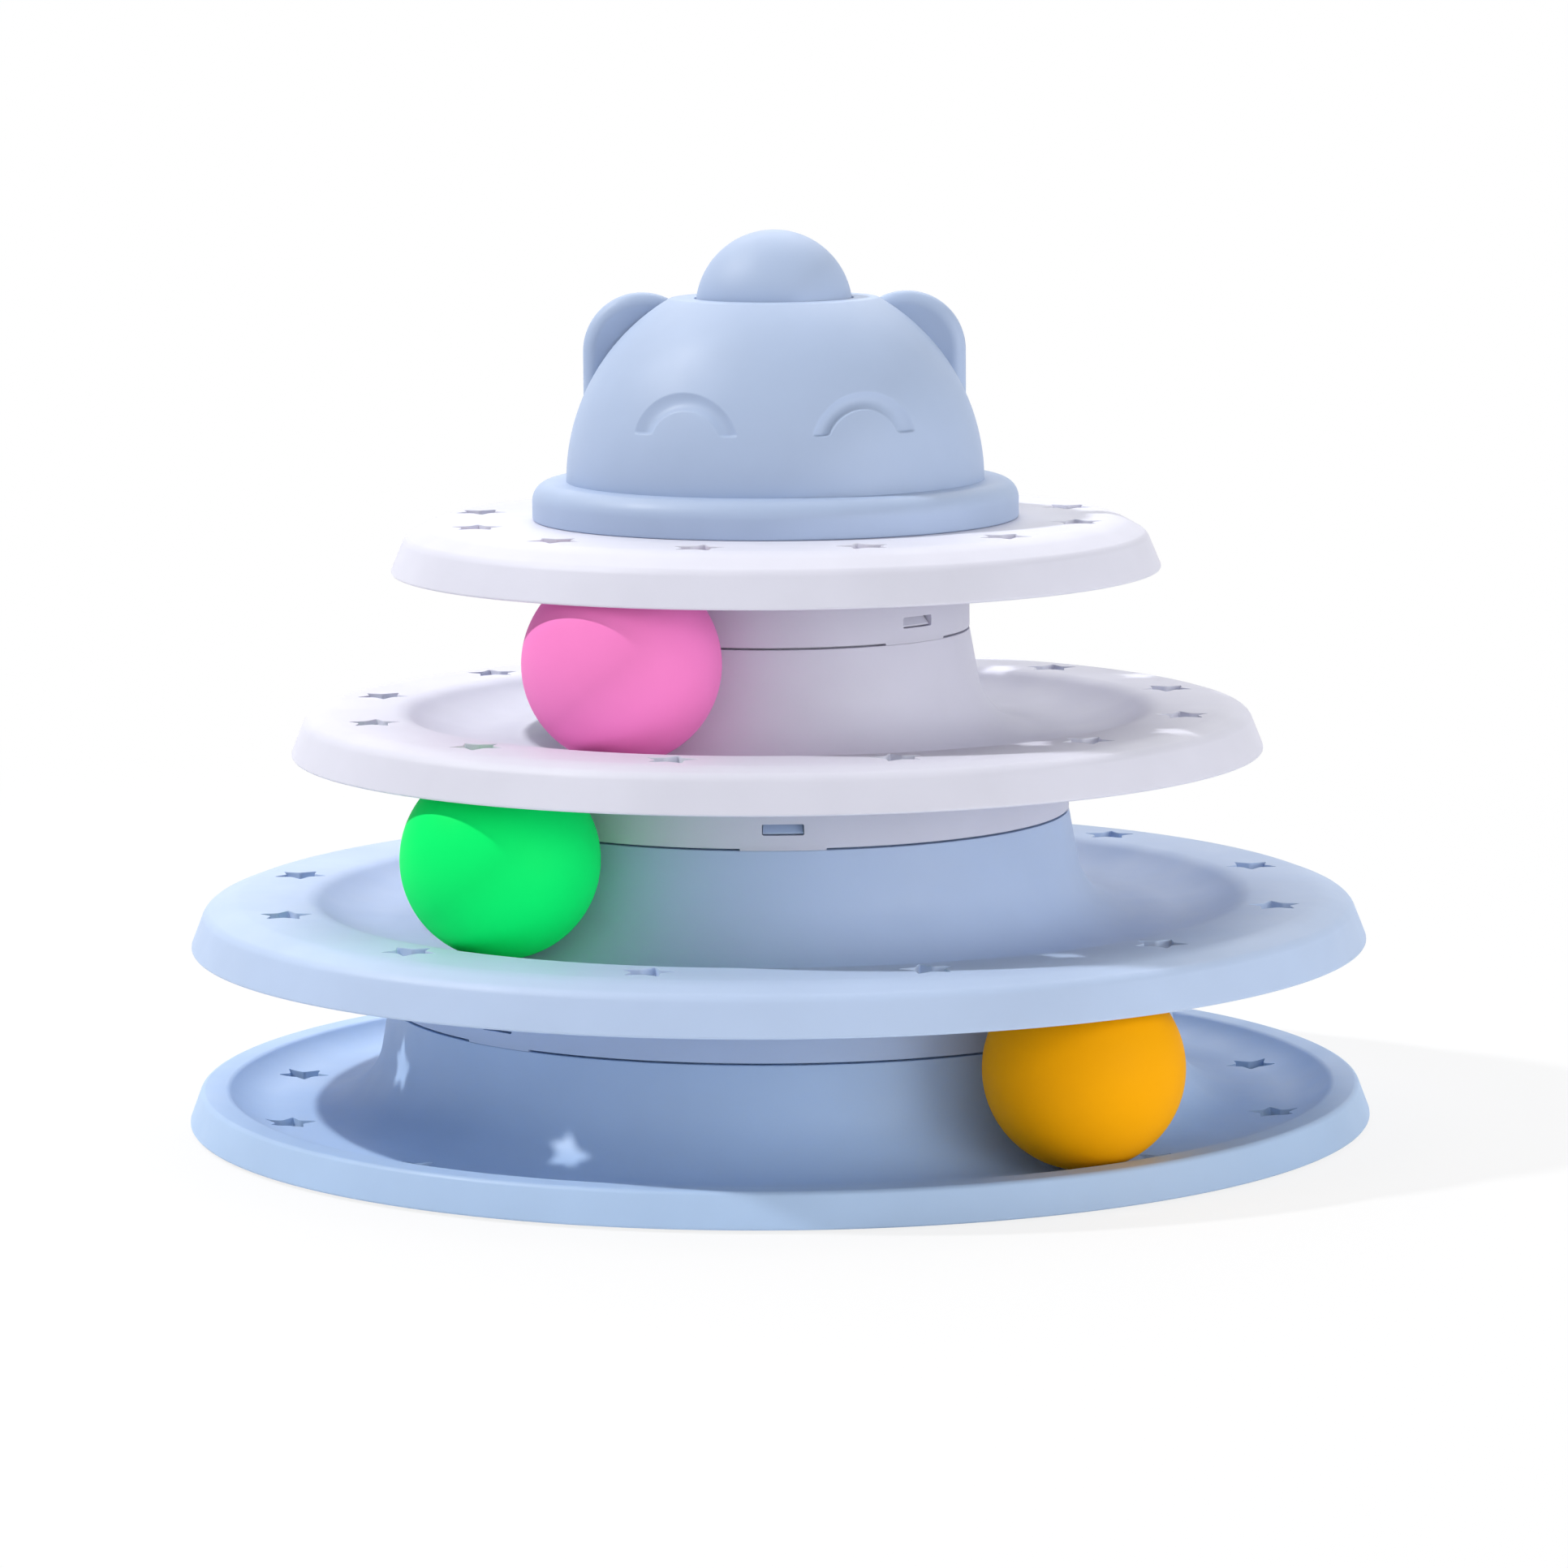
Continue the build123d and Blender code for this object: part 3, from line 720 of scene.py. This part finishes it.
class BuildBaseTray(Operator):
    """Mould the lowest storey"""

    bl_idname = "tower.base_tray"
    bl_label = "Base tray"

    def execute(self, context):
        sizes = context.scene.tower_sizes
        wall = sizes.wall
        floor = pad_stand + 3.6 * MM
        crest = pad_stand + 7.2 * MM
        climb = crest - floor
        low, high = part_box("orange_ball_front_half")
        ball = (high.z - low.z) / 2
        track = sizes.base_column + ball + BALL_SIDE_GAP
        rise = 15.3 * MM
        lip = 2.2 * MM
        crest_gap = 0.6 * MM
        crest_run = (ball + crest_gap) ** 2 - (ball + BALL_FLOOR_GAP - climb) ** 2
        crest_inner = track + sqrt(crest_run)
        start = crest_inner - sqrt(2 * rise * climb - climb ** 2)
        up, down = climb_outline(start, floor, rise, lip, climb)
        flare = 2.7 * MM
        drop = crest - pad_stand
        across = wall * sqrt(flare ** 2 + drop ** 2) / drop
        inner = base_rim - across - flare * (drop - wall) / drop
        outline = [
            *column_outline(sizes.base_column, base_seam, floor),
            *up,
            (base_rim - flare, crest, 1.3 * MM),
            (base_rim, pad_stand, sizes.edge_round),
            (base_rim - across, pad_stand, sizes.edge_round),
            (inner, crest - wall, 0.4 * MM),
            *down,
        ]
        bm = trace(outline)
        turn_round(bm, sizes.turn_steps)
        star_shift = 1.6 * MM
        star_clear = 2.4 * MM
        bm = punch(
            bm,
            [
                star_punch(track + star_shift, floor + star_clear, 4 * wall, 0),
                slot_punch(sizes.base_column, base_seam, DIAGONAL),
            ],
        )
        make_piece("base_tray_moulding", bm, "deep_blue", "base", ["base_tray"])
        return {"FINISHED"}


class BuildMiddleTray(Operator):
    """Mould the second storey"""

    bl_idname = "tower.middle_tray"
    bl_label = "Middle tray"

    def execute(self, context):
        sizes = context.scene.tower_sizes
        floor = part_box("green_ball_front_half")[0].z - BALL_FLOOR_GAP
        shelf = base_seam + 22.6 * MM
        skirt = (5.6 * MM, 2.1 * MM, 7.9 * MM)
        bm = tray(
            (sizes.base_column, base_seam),
            (sizes.middle_column, middle_seam),
            floor,
            shelf,
            middle_rim,
            skirt,
            (DIAGONAL, STRAIGHT),
        )
        make_piece("middle_tray_moulding", bm, "pale_blue", "middle_storey", ["middle_tray"])
        return {"FINISHED"}


class BuildUpperTray(Operator):
    """Mould the third storey"""

    bl_idname = "tower.upper_tray"
    bl_label = "Upper tray"

    def execute(self, context):
        sizes = context.scene.tower_sizes
        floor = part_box("pink_ball_front_half")[0].z - BALL_FLOOR_GAP
        shelf = middle_seam + 21.9 * MM
        skirt = (4.4 * MM, 1.3 * MM, 7.8 * MM)
        bm = tray(
            (sizes.middle_column, middle_seam),
            (sizes.upper_column, upper_seam),
            floor,
            shelf,
            upper_rim,
            skirt,
            (STRAIGHT, DIAGONAL),
        )
        make_piece("upper_tray_moulding", bm, "white", "upper_storey", ["upper_tray"])
        return {"FINISHED"}


class BuildTopPlate(Operator):
    """Mould the plate that carries the head"""

    bl_idname = "tower.top_plate"
    bl_label = "Top plate"

    def execute(self, context):
        sizes = context.scene.tower_sizes
        wall = sizes.wall
        soft = sizes.edge_round
        ledge = 6 * MM
        skirt = (6.2 * MM, 3.4 * MM, 7.4 * MM)
        hole = sizes.upper_column - wall - ledge
        ring_outer = DOME_RADIUS + wall
        ring_top = top_shelf + head_ring_height
        outline = [
            (hole, top_shelf, soft),
            (DOME_RADIUS, top_shelf, 0),
            (DOME_RADIUS, ring_top, soft),
            (ring_outer, ring_top, soft),
            (ring_outer, top_shelf, 0),
            *skirt_outline(top_shelf, top_rim, skirt),
            *collar_outline(sizes.upper_column, upper_seam, top_shelf - wall),
            (hole, top_shelf - wall, soft),
        ]
        bm = trace(outline)
        turn_round(bm, sizes.turn_steps)
        ring = (flange_radius + top_rim - sizes.skirt_flare) / 2
        hook_size = (wall + 4 * MM, 8.6 * MM, 2.2 * MM)
        hook_lift = 1.3 * MM
        bm = punch(
            bm,
            [
                star_punch(ring, top_shelf, 4 * wall, sizes.star_lip),
                window_punch(sizes.upper_column, upper_seam, DIAGONAL),
                block_punch(DOME_RADIUS + wall / 2, top_shelf + hook_lift, hook_size, DIAGONAL, 0.3 * MM),
            ],
        )
        add_seam_pads(bm, sizes.upper_column, upper_seam, DIAGONAL)
        make_piece("top_plate_moulding", bm, "white", "top_storey", ["top_plate"])
        return {"FINISHED"}


def ease(value, low, high):
    """Smooth step from 0 at low to 1 at high."""
    share = max(0.0, min(1.0, (value - low) / (high - low)))
    return share * share * (3 - 2 * share)


def press_eyes(bm, centre, radius):
    """Press the two closed eyes into the front of the dome."""
    sizes = bpy.context.scene.tower_sizes
    spread = 18.2 * MM
    height = centre + 9.95 * MM
    bend = 9.05 * MM
    half = 1.65 * MM
    limit = bend + half + 3 * MM
    lowest = height + 0.6 * MM
    corner = height + 2.55 * MM
    skin = 0.4 * MM
    steepness = 1.1
    soft = sizes.eye_soften
    heart = Vector((0, 0, centre))
    near = []
    for edge in bm.edges:
        middle = (edge.verts[0].co + edge.verts[1].co) / 2
        if middle.y > 0 or abs((middle - heart).length - radius) > skin:
            continue
        reach = sqrt((abs(middle.x) - spread) ** 2 + (middle.z - height) ** 2)
        if reach < limit and middle.z > lowest:
            near.append(edge)
    bmesh.ops.subdivide_edges(bm, edges=near, cuts=3, use_grid_fill=True)
    for vert in bm.verts:
        way = vert.co - heart
        if vert.co.y > 0 or abs(way.length - radius) > skin or vert.co.z < height:
            continue
        reach = sqrt((abs(vert.co.x) - spread) ** 2 + (vert.co.z - height) ** 2)
        if reach > limit:
            continue
        across = max(0, 1 - ((reach - bend) / (half + soft / 4)) ** 2) ** steepness
        along = ease(vert.co.z, corner - soft / 2, corner + soft / 2)
        vert.co = heart + way.normalized() * (radius - sizes.eye_depth * across * along)


def add_ear(bm, side, centre, radius):
    """Add one ear: a thick rounded disc with a dished front, let into the dome."""
    ear = bmesh.new()
    spread = 27.8 * MM
    height = centre + 26.5 * MM
    reach = 12.4 * MM
    front = 3.2 * MM
    thick = 5.6 * MM
    root = height - 14 * MM
    rim = 2.5 * MM
    sunk = 1 * MM
    start = ear.verts.new((spread - reach, front, height))
    turned = bmesh.ops.spin(
        ear, geom=[start], cent=(spread, front, height), axis=(0, 1, 0), angle=pi, steps=48
    )
    end = [item for item in turned["geom_last"] if isinstance(item, bmesh.types.BMVert)][0]
    low_end = ear.verts.new((spread + reach, front, root))
    low_start = ear.verts.new((spread - reach, front, root))
    ear.edges.new((end, low_end))
    ear.edges.new((low_end, low_start))
    ear.edges.new((low_start, start))
    made = bmesh.ops.contextual_create(ear, geom=ear.edges[:])
    made = bmesh.ops.extrude_face_region(ear, geom=made["faces"])
    moved = [item for item in made["geom"] if isinstance(item, bmesh.types.BMVert)]
    bmesh.ops.translate(ear, verts=moved, vec=(0, thick, 0))
    bmesh.ops.recalc_face_normals(ear, faces=ear.faces[:])
    rims = [edge for edge in ear.edges if abs(edge.verts[0].co.y - edge.verts[1].co.y) < 0.01 * MM]
    soften(ear, rims, rim, 7, "EDGES")
    dish = [min(ear.faces, key=lambda face: (round(face.calc_center_median().y, 5), -face.calc_area()))]
    for width, sink in EAR_DISH:
        bmesh.ops.inset_region(ear, faces=dish, thickness=width * MM, use_even_offset=True)
        bmesh.ops.translate(ear, verts=dish[0].verts[:], vec=(0, sink * MM, 0))
    dome = bmesh.new()
    bmesh.ops.create_uvsphere(dome, u_segments=96, v_segments=48, radius=radius - sunk)
    bmesh.ops.translate(dome, verts=dome.verts[:], vec=(0, 0, centre))
    ear = punch(ear, [dome])
    if side < 0:
        bmesh.ops.scale(ear, vec=(-1, 1, 1), verts=ear.verts[:])
        bmesh.ops.reverse_faces(ear, faces=ear.faces[:])
    join_into(bm, ear)


class BuildHead(Operator):
    """Mould the head with its ears and closed eyes"""

    bl_idname = "tower.head"
    bl_label = "Head"

    def execute(self, context):
        sizes = context.scene.tower_sizes
        wall = 2.0 * MM
        centre = top_shelf + DOME_LIFT
        top = centre + sqrt(DOME_RADIUS ** 2 - DOME_FLAT ** 2)
        recess = 16.6 * MM
        floor = top - RECESS_DEPTH
        inside = DOME_RADIUS - wall
        roof = top - wall
        shoulder = sqrt(inside ** 2 - (roof - centre) ** 2)
        hole = 4.08 * MM
        outline = [
            (flange_radius - wall, top_shelf, 0),
            (flange_radius, top_shelf, sizes.edge_round),
            (flange_radius, centre, 4.0 * MM),
            (DOME_RADIUS, centre, 0),
            arc((0, centre), -acos(DOME_FLAT / DOME_RADIUS), 72, 1.2 * MM),
            (recess, top, 0.25 * MM),
            (recess, floor, 0.5 * MM),
            (hole, floor, 0.2 * MM),
            (hole, floor - wall, 0.2 * MM),
            (recess + wall, floor - wall, 0.8 * MM),
            (recess + wall, roof, 0.6 * MM),
            (shoulder, roof, 0),
            arc((0, centre), asin((roof - centre) / inside) + asin(wall / inside), 40),
            (flange_radius - wall, centre - wall, 1.0 * MM),
        ]
        bm = trace(outline)
        turn_round(bm, sizes.turn_steps)
        press_eyes(bm, centre, DOME_RADIUS)
        for side in (-1, 1):
            add_ear(bm, side, centre, DOME_RADIUS)
        make_piece("head_moulding", bm, "head_blue", "head", ["head_shell"])
        return {"FINISHED"}


class BuildKnob(Operator):
    """Mould the turning knob on the head"""

    bl_idname = "tower.knob"
    bl_label = "Knob"

    def execute(self, context):
        radius = 16.4 * MM
        centre = knob_top - radius
        inside = radius - context.scene.tower_sizes.wall
        turning_gap = 0.4 * MM
        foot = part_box("head_shell")[0].z + DOME_LIFT
        foot += sqrt(DOME_RADIUS ** 2 - DOME_FLAT ** 2) - RECESS_DEPTH + turning_gap
        below = centre - foot
        boss = 5.5 * MM
        boss_foot = foot - 0.25 * MM
        stem = 4.0 * MM
        pilot = 1.55 * MM
        pilot_top = stem_end + 9 * MM
        boss_top = centre + sqrt(inside ** 2 - boss ** 2)
        turn = atan2(sqrt(inside ** 2 - below ** 2), -below) - asin(boss / inside)
        outline = [
            (0, knob_top, 0),
            arc((0, centre), pi - acos(below / radius), 56),
            (sqrt(inside ** 2 - below ** 2), foot, 0),
            arc((0, centre), -turn, 40),
            (boss, boss_top, 0),
            (boss, boss_foot, 0.4 * MM),
            (stem, boss_foot, 0),
            (stem, stem_end, 0.4 * MM),
            (pilot, stem_end, 0.2 * MM),
            (pilot, pilot_top, 0),
            (0, pilot_top, 0),
        ]
        bm = trace(outline, closed=False)
        bmesh.ops.remove_doubles(bm, verts=bm.verts[:], dist=0.01 * MM)
        turn_round(bm, 128)
        make_piece("knob_moulding", bm, "head_blue", "knob", ["knob_cap"])
        return {"FINISHED"}


class BuildBalls(Operator):
    """Make the welded half shells of the loose balls"""

    bl_idname = "tower.balls"
    bl_label = "Balls"

    def execute(self, context):
        shell = 1.6 * MM
        weld_groove = 0.08 * MM
        for colour in ("orange", "green", "pink"):
            low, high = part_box(f"{colour}_ball_front_half")
            radius = (high.z - low.z) / 2
            centre = Vector(((low.x + high.x) / 2, high.y, (low.z + high.z) / 2))
            inside = radius - shell
            for half, turn in (("front", pi / 2), ("rear", -pi / 2)):
                outline = [
                    (0, radius, 0),
                    arc((0, 0), pi / 2, 48),
                    (inside, 0, 0),
                    arc((0, 0), -pi / 2, 32),
                ]
                bm = trace(outline, closed=False)
                seam = [vert for vert in bm.verts if abs(vert.co.x - radius) < 0.01 * MM]
                soften(bm, seam, weld_groove, 2, "VERTICES")
                turn_round(bm, 112)
                bmesh.ops.rotate(
                    bm, verts=bm.verts[:], cent=(0, 0, 0), matrix=Matrix.Rotation(turn, 3, "X")
                )
                bmesh.ops.translate(bm, verts=bm.verts[:], vec=centre)
                make_piece(
                    f"{colour}_ball_{half}_shell",
                    bm,
                    f"ball_{colour}",
                    f"{colour}_ball",
                    [f"{colour}_ball_{half}_half"],
                )
        return {"FINISHED"}


class BuildPads(Operator):
    """Make the soft foot pads with their grip rings"""

    bl_idname = "tower.pads"
    bl_label = "Foot pads"

    def execute(self, context):
        groove = 0.35 * MM
        for number in range(1, 5):
            low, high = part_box(f"foot_pad_{number}")
            radius = (high.x - low.x) / 2
            outline = [
                (0, high.z, 0),
                (radius, high.z, 0.3 * MM),
                (radius, 0, 0.5 * MM),
            ]
            for edge in (0.78, 0.42):
                outline += [
                    (edge * radius, 0, 0.2 * MM),
                    ((edge - 0.06) * radius, groove, 0.1 * MM),
                    ((edge - 0.16) * radius, groove, 0.1 * MM),
                    ((edge - 0.22) * radius, 0, 0.2 * MM),
                ]
            bm = trace([*outline, (0, 0, 0)], closed=False)
            turn_round(bm, 64)
            middle = ((low.x + high.x) / 2, (low.y + high.y) / 2, 0)
            bmesh.ops.translate(bm, verts=bm.verts[:], vec=middle)
            make_piece(f"grip_pad_{number}", bm, "pad_rubber", "base", [f"foot_pad_{number}"])
        return {"FINISHED"}


class FinishFittings(Operator):
    """Give the catches, hooks, washer and screw of the CAD frame their finishes"""

    bl_idname = "tower.fittings"
    bl_label = "Fittings"

    def execute(self, context):
        fittings = {
            "base_snap_tongues": "deep_blue",
            "middle_snap_tongues": "pale_blue",
            "upper_snap_tongues": "white",
            "head_snap_hooks": "head_blue",
            "knob_washer": "steel",
            "knob_screw": "steel",
        }
        for node, slot in fittings.items():
            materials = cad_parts[node].data.materials
            materials.clear()
            materials.append(finish_of(slot))
        return {"FINISHED"}


def combine(tree, operation, first, second):
    """Join two values with a math node."""
    node = tree.nodes.new("ShaderNodeMath")
    node.operation = operation
    tree.links.new(first, node.inputs[0])
    tree.links.new(second, node.inputs[1])
    return node.outputs["Value"]


def seen_rays(tree):
    """Return 1 for rays from the camera, reflections and glass, and 0 for all other rays."""
    path = tree.nodes.new("ShaderNodeLightPath")
    seen = combine(tree, "MAXIMUM", path.outputs["Is Camera Ray"], path.outputs["Is Glossy Ray"])
    return combine(tree, "MAXIMUM", seen, path.outputs["Is Transmission Ray"])


def mix_shaders(tree, factor, plain, bright, output):
    """Show the plain shader where factor is 0 and the bright one where it is 1."""
    mix = tree.nodes.new("ShaderNodeMixShader")
    tree.links.new(factor, mix.inputs["Fac"])
    tree.links.new(plain, mix.inputs[1])
    tree.links.new(bright, mix.inputs[2])
    tree.links.new(mix.outputs["Shader"], tree.nodes[output].inputs["Surface"])


def floor_card(paleness):
    """Pale card that keeps the object's shadow close to it and fades to plain white further off."""
    material, tree, shader = new_nodes("floor_card")
    shader.inputs["Base Color"].default_value = (0.9, 0.9, 0.91, 1)
    shader.inputs["Roughness"].default_value = 0.9
    shader.inputs["Specular IOR Level"].default_value = 0.1
    glow = tree.nodes.new("ShaderNodeEmission")
    glow.inputs["Color"].default_value = (1, 1, 1, 1)
    glow.inputs["Strength"].default_value = 1
    distance = tree.nodes.new("ShaderNodeVectorMath")
    distance.operation = "LENGTH"
    tree.links.new(tree.nodes.new("ShaderNodeTexCoord").outputs["Object"], distance.inputs[0])
    fade = ramp(tree, distance.outputs["Value"], 0.16, 0.6, paleness, 1)
    share = combine(tree, "MULTIPLY", fade, seen_rays(tree))
    mix_shaders(tree, share, shader.outputs["BSDF"], glow.outputs["Emission"], "Material Output")
    return material


def light_world(strength):
    """A faint light all round, seen as plain white."""
    world = bpy.data.worlds.new("studio")
    world.use_nodes = True
    tree = world.node_tree
    sky = tree.nodes["Background"]
    sky.inputs["Color"].default_value = (0.97, 0.98, 1, 1)
    sky.inputs["Strength"].default_value = strength
    white = tree.nodes.new("ShaderNodeBackground")
    white.inputs["Color"].default_value = (1, 1, 1, 1)
    white.inputs["Strength"].default_value = 1
    mix_shaders(
        tree, seen_rays(tree), sky.outputs["Background"], white.outputs["Background"], "World Output"
    )
    return world


def add_soft_sun(name, source, spread, strength):
    """Add a broad sun that shines from a direction and leaves soft shadows."""
    sun = bpy.data.lights.new(name, "SUN")
    sun.energy = strength
    sun.angle = spread
    lamp = bpy.data.objects.new(name, sun)
    lamp.rotation_mode = "QUATERNION"
    lamp.rotation_quaternion = Vector(source).to_track_quat("Z", "Y")
    bpy.context.scene.collection.objects.link(lamp)


class BuildStage(Operator):
    """Set up the pale floor, the soft studio light and the camera"""

    bl_idname = "tower.stage"
    bl_label = "Stage"

    def execute(self, context):
        scene = context.scene
        studio = scene.tower_studio
        scene.view_settings.view_transform = "Standard"

        bm = bmesh.new()
        bmesh.ops.create_grid(bm, x_segments=1, y_segments=1, size=3)
        mesh = bpy.data.meshes.new("floor")
        bm.to_mesh(mesh)
        bm.free()
        floor = bpy.data.objects.new("floor", mesh)
        scene.collection.objects.link(floor)
        mesh.materials.append(floor_card(studio.floor_paleness))
        scene.world = light_world(studio.sky_strength)

        key = bpy.data.lights.new("key", "POINT")
        key.energy = studio.key_power
        key.shadow_soft_size = studio.key_size
        lamp = bpy.data.objects.new("key", key)
        lamp.location = studio.key_place
        scene.collection.objects.link(lamp)
        add_soft_sun("front", (0, -1, 0.28), radians(60), studio.front_strength)
        add_soft_sun("side", (0.7, -0.7, 0.34), radians(60), studio.side_strength)
        add_soft_sun("fill", (0.75, -0.66, 0.06), radians(30), studio.fill_strength)
        add_soft_sun("low", (1, 0, 0.1), radians(40), studio.low_strength)
        add_soft_sun("top", (0, 0.6, 0.8), radians(60), studio.top_strength)

        view = bpy.data.cameras.new("camera")
        view.sensor_width = 36
        view.lens = studio.focal_length
        view.clip_start = 0.05
        view.clip_end = 20
        camera = bpy.data.objects.new("camera", view)
        aim = Vector(studio.camera_aim).normalized()
        right = Vector(studio.camera_right)
        right = (right - aim * right.dot(aim)).normalized()
        up = right.cross(aim)
        turn = Matrix((right, up, -aim)).transposed()
        camera.matrix_world = Matrix.Translation(studio.camera_place) @ turn.to_4x4()
        scene.collection.objects.link(camera)
        scene.camera = camera
        return {"FINISHED"}


BUILDERS = (
    BuildBaseTray,
    BuildMiddleTray,
    BuildUpperTray,
    BuildTopPlate,
    BuildHead,
    BuildKnob,
    BuildBalls,
    BuildPads,
    FinishFittings,
    BuildStage,
)


class TowerPanel(Panel):
    """Builders of the track tower"""

    bl_idname = "VIEW3D_PT_track_tower"
    bl_label = "Track tower"
    bl_space_type = "VIEW_3D"
    bl_region_type = "UI"
    bl_category = "Track Tower"

    def draw(self, context):
        for builder in BUILDERS:
            self.layout.operator(builder.bl_idname)


CLASSES = (TowerSizes, TowerColours, StudioSettings, *BUILDERS, TowerPanel)


def register():
    """Register the classes and the settings they use."""
    for item in CLASSES:
        bpy.utils.register_class(item)
    bpy.types.Scene.tower_sizes = PointerProperty(type=TowerSizes)
    bpy.types.Scene.tower_colours = PointerProperty(type=TowerColours)
    bpy.types.Scene.tower_studio = PointerProperty(type=StudioSettings)


def unregister():
    """Remove the settings and the classes."""
    del bpy.types.Scene.tower_studio
    del bpy.types.Scene.tower_colours
    del bpy.types.Scene.tower_sizes
    for item in reversed(CLASSES):
        bpy.utils.unregister_class(item)


def main():
    """Build the tower and its studio."""
    register()
    bpy.ops.tower.base_tray()
    bpy.ops.tower.middle_tray()
    bpy.ops.tower.upper_tray()
    bpy.ops.tower.top_plate()
    bpy.ops.tower.head()
    bpy.ops.tower.knob()
    bpy.ops.tower.balls()
    bpy.ops.tower.pads()
    bpy.ops.tower.fittings()
    bpy.ops.tower.stage()


if __name__ == "__main__":
    main()
